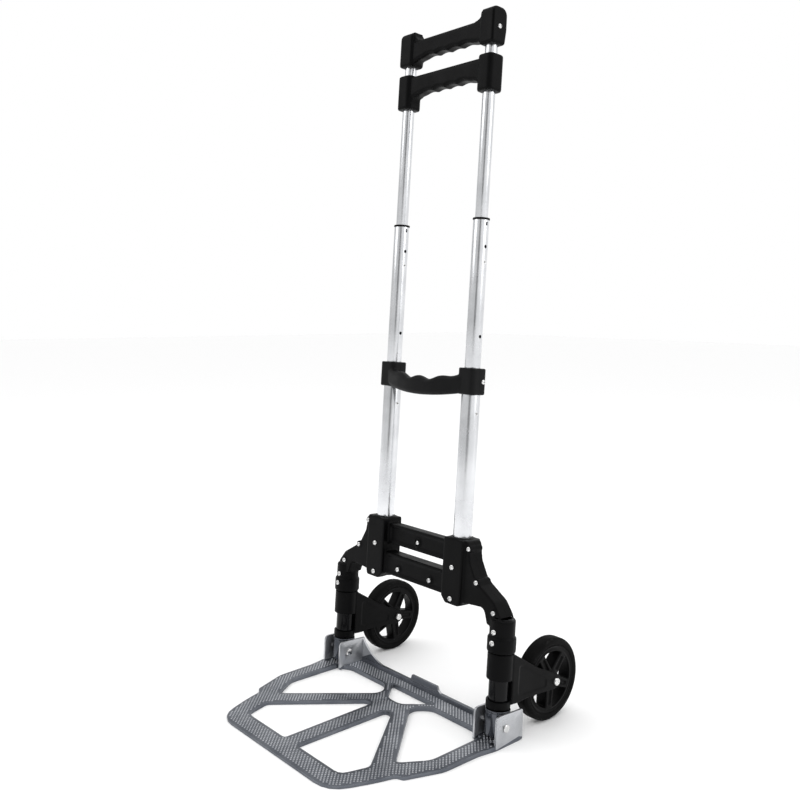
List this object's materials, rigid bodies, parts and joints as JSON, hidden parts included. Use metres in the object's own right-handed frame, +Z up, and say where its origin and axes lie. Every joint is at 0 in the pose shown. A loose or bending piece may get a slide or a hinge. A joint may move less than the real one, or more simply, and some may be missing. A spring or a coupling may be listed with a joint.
{
  "type": "hand truck",
  "caption": "Folding hand truck with a two-stage telescoping handle, hinged toe plate and wheels that swing inward as it folds.",
  "frame": {"origin": "on the floor, mid width, straight below the hinge line of the toe plate", "axes": "+Z up, toe plate towards -Y, wheels towards +Y, +X to the user's left as they pull"},
  "size_m": [0.427, 0.4572, 1.1103],
  "materials": {
    "black_plastic": "satin moulded",
    "grip_plastic": "fine textured",
    "tyre": "matt",
    "tube_aluminium": "bright anodised",
    "cast_aluminium": "cast with ribbed tread",
    "bright_steel": "bright zinc",
    "black_steel": "black powder coat"
  },
  "bodies": {
    "frame": {"frame_front_shell": "black_plastic", "frame_rear_shell": "black_plastic", "lug_bolt_upper_right": "bright_steel", "lug_bolt_upper_left": "bright_steel", "lug_bolt_lower_right": "bright_steel", "lug_bolt_lower_left": "bright_steel", "collar_screw_upper_right": "bright_steel", "collar_screw_upper_left": "bright_steel", "collar_screw_lower_right": "bright_steel", "collar_screw_lower_left": "bright_steel", "lower_tube_right": "tube_aluminium", "lower_tube_left": "tube_aluminium", "leg_tube_right": "black_steel", "leg_tube_left": "black_steel", "leg_foot_right": "cast_aluminium", "leg_foot_left": "cast_aluminium", "hinge_pin_right": "bright_steel", "hinge_pin_left": "bright_steel", "carry_grip": "grip_plastic", "grip_clamp_right": "grip_plastic", "grip_clamp_left": "grip_plastic", "clamp_screw_right": "bright_steel", "clamp_screw_left": "bright_steel"},
    "middle_stage": {"middle_tube_right": "tube_aluminium", "middle_tube_left": "tube_aluminium", "tube_band_right": "black_plastic", "tube_band_left": "black_plastic", "middle_lock_plug_right": "grip_plastic", "middle_lock_plug_left": "grip_plastic"},
    "middle_lock_pins": {"middle_lock_pin_right": "bright_steel", "middle_lock_pin_left": "bright_steel"},
    "upper_stage": {"inner_tube_right": "tube_aluminium", "inner_tube_left": "tube_aluminium", "upper_lock_plug_right": "grip_plastic", "upper_lock_plug_left": "grip_plastic", "top_handle": "black_plastic", "handle_screw_right": "bright_steel", "handle_screw_left": "bright_steel", "return_spring_right": "bright_steel", "return_spring_left": "bright_steel"},
    "upper_lock_pins": {"upper_lock_pin_right": "bright_steel", "upper_lock_pin_left": "bright_steel"},
    "release": {"release_grip": "black_plastic", "push_rod_right": "black_steel", "push_rod_left": "black_steel", "grip_pin_right": "bright_steel", "grip_pin_left": "bright_steel"},
    "toe_plate": {"toe_plate": "cast_aluminium"},
    "bracket_right": {"wheel_bracket_right": "black_plastic", "wheel_axle_right": "bright_steel"},
    "bracket_left": {"wheel_bracket_left": "black_plastic", "wheel_axle_left": "bright_steel"},
    "wheel_right": {"wheel_rim_right": "black_plastic", "wheel_tyre_right": "tyre", "hub_bush_right": "grip_plastic"},
    "wheel_left": {"wheel_rim_left": "black_plastic", "wheel_tyre_left": "tyre", "hub_bush_left": "grip_plastic"}
  },
  "joints": [
    {"name": "middle_slide", "type": "slide", "parent": "frame", "child": "middle_stage", "axis": [0, -0.0645, -0.9979], "range_m": [0, 0.227]},
    {"name": "upper_slide", "type": "slide", "parent": "middle_stage", "child": "upper_stage", "axis": [0, -0.0645, -0.9979], "range_m": [0, 0.194]},
    {"name": "release_pull", "type": "slide", "parent": "upper_stage", "child": "release", "axis": [0, 0.0645, 0.9979], "range_m": [0, 0.011], "stiffness_N_per_m": 900, "deforming": ["return_spring_right", "return_spring_left"]},
    {"name": "upper_pins", "type": "slide", "parent": "upper_stage", "child": "upper_lock_pins", "axis": [-1, 0, 0], "range_m": [0, 0.003]},
    {"name": "middle_pins", "type": "slide", "parent": "middle_stage", "child": "middle_lock_pins", "axis": [-1, 0, 0], "range_m": [0, 0.003]},
    {"name": "toe_fold", "type": "hinge", "parent": "frame", "child": "toe_plate", "pos_m": [0, 0, 0.028], "axis": [-1, 0, 0], "range_deg": [0, 93.7]},
    {"name": "wheel_swing_right", "type": "hinge", "parent": "frame", "child": "bracket_right", "pos_m": [0.1875, 0.00837, 0.07214], "axis": [0, 0.0645, 0.9979], "range_deg": [0, 90]},
    {"name": "wheel_swing_left", "type": "hinge", "parent": "frame", "child": "bracket_left", "pos_m": [-0.1875, 0.00837, 0.07214], "axis": [0, -0.0645, -0.9979], "range_deg": [0, 90]},
    {"name": "wheel_spin_right", "type": "hinge", "parent": "bracket_right", "child": "wheel_right", "pos_m": [0.1875, 0.11883, 0.065], "axis": [1, 0, 0], "continuous": true},
    {"name": "wheel_spin_left", "type": "hinge", "parent": "bracket_left", "child": "wheel_left", "pos_m": [-0.1875, 0.11883, 0.065], "axis": [1, 0, 0], "continuous": true}
  ],
  "couplings": [
    {"joint": "upper_pins", "follows": "release_pull", "ratio": 0.27},
    {"joint": "middle_pins", "follows": "release_pull", "ratio": 0.27},
    {"joint": "wheel_swing_right", "follows": "toe_fold", "ratio": 0.9605},
    {"joint": "wheel_swing_left", "follows": "toe_fold", "ratio": 0.9605}
  ]
}
